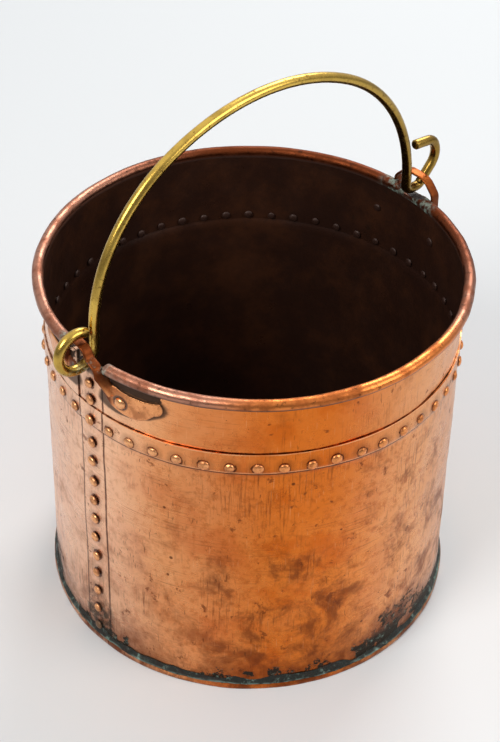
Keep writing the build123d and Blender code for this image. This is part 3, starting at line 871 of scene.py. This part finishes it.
class LOGBUCKET_OT_body(bpy.types.Operator):
    """Raises the tapered body sheet with its stepped top and its lapped seam"""

    bl_idname = "logbucket.body"
    bl_label = "Body Sheet"

    def execute(self, context):
        s = sizes()
        step = s.crease + 2.0
        outline = [(195.8, 1.4), (195.8, 2.4)]
        outline += climb(2.6, s.crease, 0)
        outline += climb(step, s.body_top, s.lap, 4)
        outline += climb(s.body_top, step, s.lap - s.sheet, 30)
        outline += climb(s.crease, 1.4, -s.sheet, 8)
        wall_piece = spun("Body sheet", outline, 0, 360, AROUND)
        flap_outline = climb(11.8, s.crease - 1.5, s.lap)
        flap_outline += climb(step - 1.5, s.body_top - 0.2, 2 * s.lap, 4)
        flap_outline += climb(s.body_top - 0.2, step - 1.2, 2 * s.lap - s.sheet, 30)
        flap_outline += climb(s.crease - 1.2, 11.8, s.lap - s.sheet, 30)
        flap, start = seam_flap("Seam flap", flap_outline)
        for vertex in flap.data.vertices:
            x, y, z = vertex.co
            turn = degrees(atan2(y, x)) % 360
            if turn < start - 0.1:
                scale = 1 - (s.lap + 0.1) * MM / (x * x + y * y) ** 0.5
                vertex.co = (x * scale, y * scale, z)
        sheet = joined([wall_piece, flap], "Body sheet")
        hammer(sheet, 60, s.dent)
        hammer(sheet, 15, 0.3)
        smooth(sheet, 35)
        tarnish(finish(sheet, material_for("sheet"), "bucket", "body_sheet"))
        return {"FINISHED"}


def ring_notch():
    """A cutter for the round notch that the bail's ring swings in."""
    return bar((-195, sizes().offset, 351.5), 18.0, 30)


def rim_cutters():
    """Cutters for the ring's gap and notch on one side and the hook's dip on the other."""
    y = sizes().offset
    return [
        block((-215, y - 26.3, 342.2), (-180, y + 26.3, 370)),
        ring_notch(),
        bar((195, y, 385.6), 38.0, 30),
        block((193.4, y + 23.2, 341.4), (204, y + 26.4, 356)),
        block((193.4, y - 26.4, 341.4), (204, y - 23.2, 356)),
    ]


class LOGBUCKET_OT_collar(bpy.types.Operator):
    """Makes the collar sheet and rolls its edge over the wire"""

    bl_idname = "logbucket.collar"
    bl_label = "Collar and Rim"

    def execute(self, context):
        s = sizes()
        roll = s.bead / 2
        lower_edge = 271  # hidden behind the body sheet
        middle = s.rim_height - roll - 0.3
        centre = s.wall_top - s.sheet + roll - 0.4

        def rolled(radius):
            turns = [radians(180 - 310 * i / 24) for i in range(25)]
            return [(centre + radius * cos(t), middle + radius * sin(t)) for t in turns]

        outline = climb(lower_edge, middle - 4, -s.sheet) + rolled(roll - 0.1)
        outline += rolled(roll - 1.2)[::-1] + climb(middle - 4, lower_edge, 0)
        collar = spun("Collar sheet", outline, 0, 360, AROUND)
        low, high = s.body_top + 0.1, 342.0
        flap, _ = seam_flap("Collar flap", climb(low, high, s.lap) + climb(high, low, 0.1))
        for cutter in rim_cutters():
            cut(collar, cutter)
        cut(flap, ring_notch())
        sheet = joined([collar, flap], "Collar sheet")
        hammer(sheet, 45, 0.7, 0.3)
        hammer(sheet, 14, 0.3)
        smooth(sheet, 35)
        tarnish(finish(sheet, material_for("sheet"), "bucket", "collar_sheet"))
        sheet.data.materials.append(material_for("rim"))
        for face in sheet.data.polygons:
            if face.center.z > ROLL_FOOT:
                face.material_index = 2
        return {"FINISHED"}


class LOGBUCKET_OT_foot(bpy.types.Operator):
    """Folds the bottom's edge and runs the lumpy solder round it"""

    bl_idname = "logbucket.foot"
    bl_label = "Foot and Solder"

    def execute(self, context):
        s = sizes()
        # Out along the bottom, round the folded edge, and back along the floor
        outline = [(0.5, 0.0), (60, 0.0), (120, 0.0), (180, 0.0), (195.4, 0.0), (196.5, 0.5)]
        outline += [(196.8, 1.6), (196.8, 3.4), (196.8, 5.4), (196.4, 6.3), (195.4, 6.5)]
        outline += [(193.8, 6.4), (193.8, 5.4), (195.9, 5.2), (195.9, 1.3)]
        outline += [(180, 1.2), (120, 1.2), (60, 1.2), (0.5, 1.2)]
        pan = spun("Bottom", outline, 0, 360, AROUND)
        hammer(pan, 30, 0.5)
        smooth(pan, 35)
        tarnish(finish(pan, material_for("sheet"), "bucket", "base_pan"))
        run = [(193.7, 6.6), (196.3, 6.5), (195.8, 7.6), (194.9, 9.0), (194.2, 10.6), (193.7, 12.0)]
        solder = spun("Solder run", run, 0, 360, 360)
        for vertex in solder.data.vertices:
            x, y, z = vertex.co
            rise = 0.95 + 1.5 * perlin.noise(Vector((x, y, 0.2)) / 0.022)
            foot = s.foot * MM
            vertex.co = (x, y, foot + (z - foot) * min(1.6, max(0.35, rise)))
        dent(solder, 11, 1.8, 0.45)
        dent(solder, 4, 0.8, 0.45)
        smooth(solder, 60)
        finish(solder, material_for("solder"), "bucket", "base_solder")
        return {"FINISHED"}


def rivet_shape(head, rise):
    """A hammered rivet head with its tail, about the origin and pointing along Z."""
    radius = head / 2
    turns = [radians(t) for t in (88, 70, 52, 34, 18, 6)]
    outline = [(radius * cos(t), rise * sin(t) ** 0.9) for t in turns]
    outline += [(radius, 0.0), (2.6, -0.2), (2.6, -3.9), (4.0, -4.0)]
    outline += [(3.6, -4.7), (2.2, -5.2), (0.2, -5.3)]
    return spun("Rivet", outline, 0, 360, 20, closed=False)


def set_rivets(name, seats, head, node):
    """Copies a rivet to each seat: (angle, height, radius), each a little moved and resized."""
    first = rivet_shape(*head)
    copies = []
    for index, (angle, height, radius) in enumerate(seats):
        copy = doubled(first)
        angle = radians(angle)
        size = 1 + 0.07 * sin(index * 2.4 + height)
        outwards = Matrix.Rotation(angle, 4, "Z") @ Matrix.Rotation(radians(90), 4, "Y")
        spot = Matrix.Translation((radius * MM * cos(angle), radius * MM * sin(angle), height * MM))
        nudge = Matrix.Translation((sin(index * 1.9) * 0.5 * MM, cos(index * 3.1) * 0.5 * MM, 0))
        copy.data.transform(spot @ outwards @ nudge @ Matrix.Diagonal((size, size, 1, 1)))
        copies.append(copy)
    bpy.data.objects.remove(first)
    group = joined(copies, name)
    dent(group, 7, 0.9)
    smooth(group, 50)
    finish(group, material_for("rivet"), "bucket", node)


class LOGBUCKET_OT_rivets(bpy.types.Operator):
    """Sets the hammered rivets of the band, the seam and the lugs"""

    bl_idname = "logbucket.rivets"
    bl_label = "Rivets"

    def execute(self, context):
        lap = sizes().lap
        face = wall(BAND_HEIGHT, lap)
        seam_at = 180 + lug_turn()
        turns = [seam_at + 360 * i / BAND_COUNT for i in range(1, BAND_COUNT)]
        band = [(turn, BAND_HEIGHT, face) for turn in turns]
        band.append((seam_at, BAND_HEIGHT, face + lap))
        set_rivets("Band rivets", band, SHEET_HEAD, "band_rivets")
        heights = [SEAM_FIRST + SEAM_PITCH * i for i in range(SEAM_COUNT)]
        seam = [(seam_at, h, wall(h, lap)) for h in heights]
        set_rivets("Seam rivets", seam, SHEET_HEAD, "body_seam_rivets")
        collar = [(seam_at, h, wall(h, lap)) for h in COLLAR_HEIGHTS]
        set_rivets("Collar rivets", collar, SHEET_HEAD, "collar_seam_rivets")
        spread = degrees(WING_SPREAD / wall(WING_HEIGHT))
        for side, node in ((seam_at, "ring_lug_rivets"), (-lug_turn(), "hook_lug_rivets")):
            seats = [(side + turn * spread, WING_HEIGHT, wall(WING_HEIGHT, 1.9)) for turn in (-1, 1)]
            set_rivets("Lug rivets " + node, seats, WING_HEAD, node)
        return {"FINISHED"}


class LOGBUCKET_OT_lugs(bpy.types.Operator):
    """Forges the two strap lugs"""

    bl_idname = "logbucket.lugs"
    bl_label = "Strap Lugs"

    def execute(self, context):
        for node, name in (("ring_lug", "Ring lug"), ("hook_lug", "Hook lug")):
            lug = copied(node, name)
            modify(lug, "REMESH", mode="VOXEL", voxel_size=0.0006)
            modify(lug, "SMOOTH", factor=0.5, iterations=45)
            modify(lug, "DISPLACE", strength=0.25 * MM, mid_level=0.0)
            dent(lug, 18, 0.4)
            smooth(lug, 180)
            finish(lug, material_for("lug"), "bucket", node)
        return {"FINISHED"}


class LOGBUCKET_OT_bail(bpy.types.Operator):
    """Copies the brass rod bail from its CAD node and gives it its finish"""

    bl_idname = "logbucket.bail"
    bl_label = "Bail"

    def execute(self, context):
        bail = copied("bail", "Brass bail")
        smooth(bail, 60)
        finish(bail, material_for("brass"), "bail", "bail")
        return {"FINISHED"}


class LOGBUCKET_OT_wire(bpy.types.Operator):
    """Gives the wire in the rim its rusty finish"""

    bl_idname = "logbucket.wire"
    bl_label = "Rim Wire"

    def execute(self, context):
        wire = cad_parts["rim_wire"]
        wire.data.materials.clear()
        wire.data.materials.append(material_for("iron"))
        return {"FINISHED"}


class LOGBUCKET_OT_stage(bpy.types.Operator):
    """Sets the floor, the soft lamps and the camera"""

    bl_idname = "logbucket.stage"
    bl_label = "Stage"

    def execute(self, context):
        start_clean()
        bpy.ops.mesh.primitive_grid_add(x_subdivisions=4, y_subdivisions=4, size=30)
        floor = bpy.context.object
        floor.name = "Floor"
        paper = (0.725, 0.75, 0.77, 1)
        floor.data.materials.append(studio_paper(paper))
        # Name, place, width in metres, watts and tint
        lamps = [
            ("Key", (-1.9, -0.2, 2.0), 1.2, 37, (1.0, 0.97, 0.93)),
            ("Fill", (1.0, -2.2, 1.7), 1.8, 29, (1.0, 0.97, 0.93)),
            ("Back", (2.1, 1.2, 2.4), 1.8, 56, (1.0, 0.99, 0.97)),
        ]
        for name, spot, size, power, tint in lamps:
            start_clean()
            bpy.ops.object.light_add(type="AREA", location=spot)
            lamp = bpy.context.object
            lamp.name = name
            lamp.data.shape = "DISK"
            lamp.data.size = size
            lamp.data.energy = power
            lamp.data.color = tint
            aim = Vector((0, 0, 0.2)) - Vector(spot)
            lamp.rotation_euler = aim.to_track_quat("-Z", "Y").to_euler()
        world = context.scene.world or bpy.data.worlds.new("World")
        context.scene.world = world
        world.use_nodes = True
        tree = world.node_tree
        tree.nodes.clear()
        path = add(tree, "ShaderNodeLightPath")
        camera = Signal(path, "Is Camera Ray")
        seen = either(camera, Signal(path, "Is Transmission Ray"), Signal(path, "Is Glossy Ray"))
        plain = add(tree, "ShaderNodeBackground", Color=(0.97, 0.98, 1.0, 1), Strength=0.42)
        # The white studio grows greyer low down and towards the front, so metal shows its form
        facing = Signal(add(tree, "ShaderNodeTexCoord"), "Generated")
        dot = {"operation": "DOT_PRODUCT"}
        facing = add(tree, "ShaderNodeVectorMath", dot, i0=facing, i1=(0.35, 0.45, 0.82))
        glow = either(ramp(Signal(facing, "Value"), -0.1, 0.85, 0.3, 1.0), camera)
        white = add(tree, "ShaderNodeBackground", Color=(0.96, 0.96, 0.96, 1), Strength=glow)
        both = add(tree, "ShaderNodeMixShader", i0=seen, i1=Signal(plain), i2=Signal(white))
        add(tree, "ShaderNodeOutputWorld", i0=Signal(both))
        place_camera(context)
        context.scene.view_settings.view_transform = "Standard"
        return {"FINISHED"}


def place_camera(context):
    """Sets the camera where it looks down on the bucket from the front left."""
    data = bpy.data.cameras.new("Camera")
    camera = bpy.data.objects.new("Camera", data)
    context.collection.objects.link(camera)
    data.sensor_fit = "VERTICAL"
    data.sensor_height = 36.0
    data.lens = 86.1
    data.clip_end = 50
    heading, down, roll = (radians(angle) for angle in (-41.48, -39.21, -1.27))
    aim = Matrix.Rotation(heading, 3, "Z") @ Matrix.Rotation(down, 3, "X")
    aim = aim @ Matrix.Rotation(roll, 3, "Y")
    level = Matrix(((1, 0, 0), (0, 0, -1), (0, 1, 0)))  # turns a camera that looks down to look along Y
    away, height = 1.3003, 1.2863
    spot = Matrix.Rotation(radians(-41.55), 3, "Z") @ Vector((0, -away, height))
    camera.matrix_world = Matrix.Translation(spot) @ (aim @ level).to_4x4()
    context.scene.camera = camera


class LOGBUCKET_PT_pieces(bpy.types.Panel):
    """Lists the bucket's pieces and their sizes and colours"""

    bl_label = "Log Bucket"
    bl_idname = "LOGBUCKET_PT_pieces"
    bl_space_type = "VIEW_3D"
    bl_region_type = "UI"
    bl_category = "Log Bucket"

    def draw(self, context):
        layout = self.layout
        for operator in OPERATORS:
            layout.operator(operator.bl_idname)
        for group in (context.scene.logbucket_sizes, context.scene.logbucket_colours):
            box = layout.box()
            for name in group.__annotations__:
                box.prop(group, name)


OPERATORS = (
    LOGBUCKET_OT_body,
    LOGBUCKET_OT_collar,
    LOGBUCKET_OT_foot,
    LOGBUCKET_OT_rivets,
    LOGBUCKET_OT_lugs,
    LOGBUCKET_OT_bail,
    LOGBUCKET_OT_wire,
    LOGBUCKET_OT_stage,
)
CLASSES = (LOGBUCKET_PG_sizes, LOGBUCKET_PG_colours, *OPERATORS, LOGBUCKET_PT_pieces)


def register():
    for item in CLASSES:
        bpy.utils.register_class(item)
    bpy.types.Scene.logbucket_sizes = bpy.props.PointerProperty(type=LOGBUCKET_PG_sizes)
    bpy.types.Scene.logbucket_colours = bpy.props.PointerProperty(type=LOGBUCKET_PG_colours)


def unregister():
    del bpy.types.Scene.logbucket_colours
    del bpy.types.Scene.logbucket_sizes
    for item in reversed(CLASSES):
        bpy.utils.unregister_class(item)


def main():
    register()
    bpy.ops.logbucket.body()
    bpy.ops.logbucket.collar()
    bpy.ops.logbucket.foot()
    bpy.ops.logbucket.rivets()
    bpy.ops.logbucket.lugs()
    bpy.ops.logbucket.bail()
    bpy.ops.logbucket.wire()
    bpy.ops.logbucket.stage()


if __name__ == "__main__":
    main()
